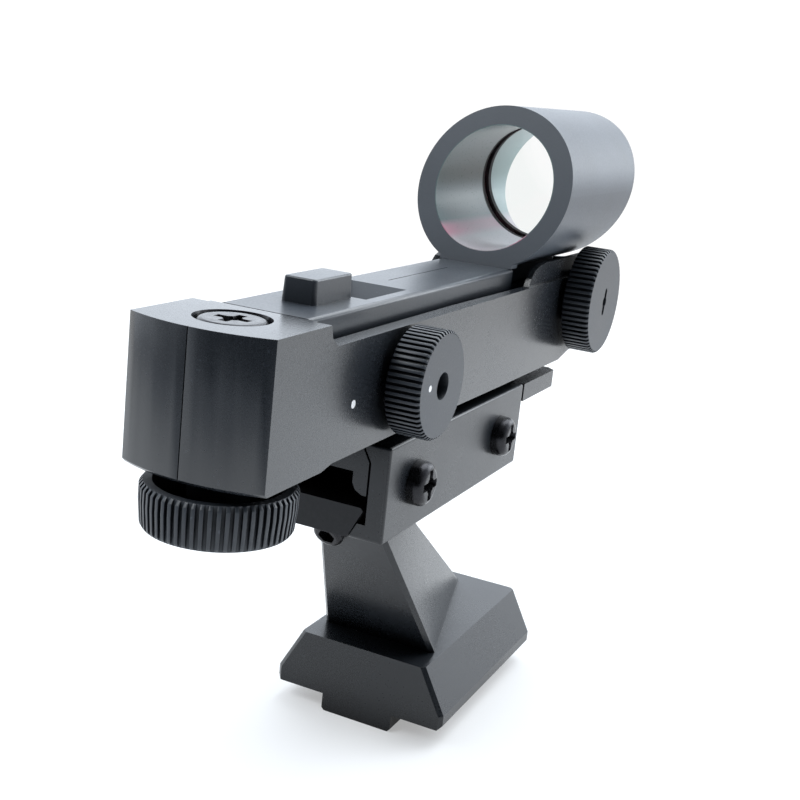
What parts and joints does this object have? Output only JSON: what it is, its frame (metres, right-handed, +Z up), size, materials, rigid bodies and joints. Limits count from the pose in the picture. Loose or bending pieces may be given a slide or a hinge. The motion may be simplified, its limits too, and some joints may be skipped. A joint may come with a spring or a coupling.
{
  "type": "red dot finder",
  "caption": "Red dot finder: a tilted lens in a short tube on a long adjustable cradle, clamped to a dovetail bar that stands on a telescope finder foot.",
  "frame": {"origin": "middle of the finder foot's upper body at its underside, where the guiding tongue begins", "axes": "+Y the way the sight looks, +Z up, +X the side with the azimuth and brightness knobs"},
  "size_m": [0.0342, 0.1492, 0.1097],
  "materials": {
    "body_plastic": "fine satin moulded black",
    "bar_metal": "satin black",
    "knob_plastic": "matt moulded black",
    "black_steel": "black oxide",
    "bright_steel": "plain",
    "brass": "turned",
    "black_anodised": "matt black",
    "switch_plastic": "plain",
    "coated_glass": "partly reflecting coating",
    "led_red": "clear red",
    "board": "circuit board"
  },
  "bodies": {
    "bracket": {"finder_bracket": "body_plastic", "dovetail_bar": "bar_metal", "stalk_screw": "black_steel"},
    "base": {"altitude_base": "body_plastic", "clamp_nuts": "black_steel"},
    "jaw": {"clamp_jaw": "body_plastic"},
    "rear_clamp_screw": {"clamp_screw_rear": "black_steel"},
    "front_clamp_screw": {"clamp_screw_front": "black_steel"},
    "altitude_adjuster": {"altitude_knob": "knob_plastic", "altitude_insert": "brass", "altitude_washer": "bright_steel"},
    "tilting_cradle": {"cradle": "body_plastic", "altitude_screw": "black_steel", "altitude_spring": "bright_steel", "pivot_pin": "bright_steel", "swing_pin": "bright_steel", "azimuth_collar": "black_anodised", "brightness_switch": "switch_plastic", "battery_contact": "brass"},
    "sight": {"sight_body": "body_plastic", "sight_tube": "body_plastic", "tube_screws": "bright_steel", "lens": "coated_glass", "lens_ring": "black_anodised", "lens_retainer": "black_anodised", "led": "led_red", "led_board": "board", "azimuth_nut": "brass"},
    "brightness_control": {"brightness_knob": "knob_plastic", "brightness_shaft": "black_anodised"},
    "azimuth_adjuster": {"azimuth_knob": "knob_plastic", "azimuth_screw": "bright_steel"},
    "battery_lid": {"battery_cover": "body_plastic", "battery": "bright_steel"}
  },
  "joints": [
    {"name": "rail_slide", "type": "slide", "parent": "bracket", "child": "base", "axis": [0, 1, 0], "range_m": [-0.012, 0.03]},
    {"name": "jaw_slide", "type": "slide", "parent": "base", "child": "jaw", "axis": [1, 0, 0], "range_m": [0, 0.0008]},
    {"name": "clamp_screw_rear_turn", "type": "hinge", "parent": "jaw", "child": "rear_clamp_screw", "pos_m": [0.01162, -0.034, 0.04755], "axis": [1, 0, 0], "range_deg": [0, 580]},
    {"name": "clamp_screw_front_turn", "type": "hinge", "parent": "jaw", "child": "front_clamp_screw", "pos_m": [0.01162, 0.0022, 0.04755], "axis": [1, 0, 0], "range_deg": [0, 580]},
    {"name": "altitude_knob_turn", "type": "hinge", "parent": "base", "child": "altitude_adjuster", "pos_m": [0, -0.073, 0.0515], "axis": [0, 0, 1], "range_deg": [-1060, 440]},
    {"name": "altitude_tilt", "type": "hinge", "parent": "base", "child": "tilting_cradle", "pos_m": [0, 0.027, 0.0594], "axis": [-1, 0, 0], "range_deg": [-0.5, 1.2], "deforming": ["altitude_spring"]},
    {"name": "azimuth_knob_turn", "type": "hinge", "parent": "tilting_cradle", "child": "azimuth_adjuster", "pos_m": [0.0149, 0.0398, 0.0693], "axis": [1, 0, 0], "range_deg": [-800, 800]},
    {"name": "azimuth_swing", "type": "hinge", "parent": "tilting_cradle", "child": "sight", "pos_m": [0, -0.06, 0.07], "axis": [0, 0, 1], "range_deg": [-0.65, 0.65]},
    {"name": "brightness_turn", "type": "hinge", "parent": "tilting_cradle", "child": "brightness_control", "pos_m": [0.0149, -0.0422, 0.0659], "axis": [1, 0, 0], "range_deg": [-270, 0]},
    {"name": "battery_cover_pull", "type": "slide", "parent": "tilting_cradle", "child": "battery_lid", "axis": [0, 0, -1], "range_m": [0, 0.02]}
  ],
  "couplings": [
    {"joint": "clamp_screw_rear_turn", "follows": "jaw_slide", "rad_per_m": 12566},
    {"joint": "clamp_screw_front_turn", "follows": "jaw_slide", "rad_per_m": 12566},
    {"joint": "altitude_tilt", "follows": "altitude_knob_turn", "ratio": -0.0011141},
    {"joint": "azimuth_swing", "follows": "azimuth_knob_turn", "ratio": 0.00079737}
  ]
}
